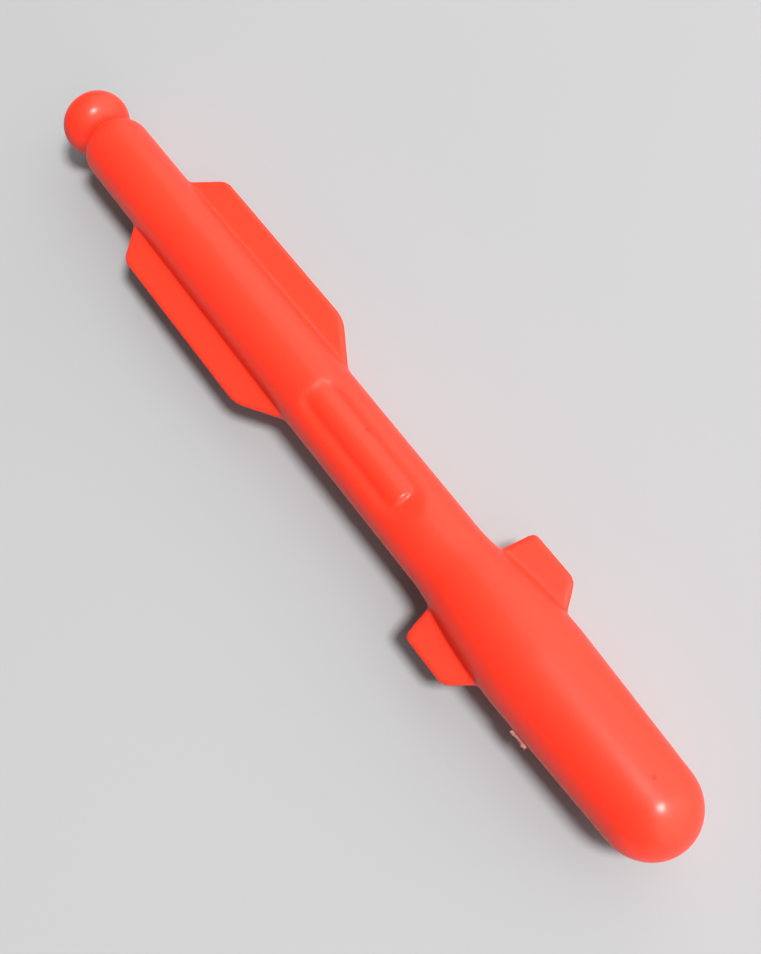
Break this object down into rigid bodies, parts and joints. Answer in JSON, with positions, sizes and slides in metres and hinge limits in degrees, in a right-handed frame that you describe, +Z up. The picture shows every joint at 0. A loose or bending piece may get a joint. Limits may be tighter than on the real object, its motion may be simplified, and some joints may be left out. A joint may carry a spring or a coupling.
{
  "type": "toy missile projectile",
  "caption": "Moulded plastic toy missile for a spring launcher: round nose, short canards, ribbed waist, long side wings, plain shank and tail ball.",
  "frame": {"origin": "on the ground, under the middle of the overall length", "axes": "+X along the body towards the nose, +Y towards the left wing, +Z up"},
  "size_m": [0.109, 0.0168, 0.0113],
  "materials": {
    "moulding": "satin, bright red-orange",
    "torn_plastic": "torn, stress-whitened"
  },
  "bodies": {
    "root": {"tail_ball": "moulding", "tail_shank": "moulding", "rear_body": "moulding", "wing_left": "moulding", "wing_right": "moulding", "waist": "moulding", "waist_rib": "moulding", "fore_body": "moulding", "canard_left": "moulding", "canard_right": "moulding", "nose_cap": "moulding", "gate_stub": "torn_plastic"}
  },
  "joints": []
}
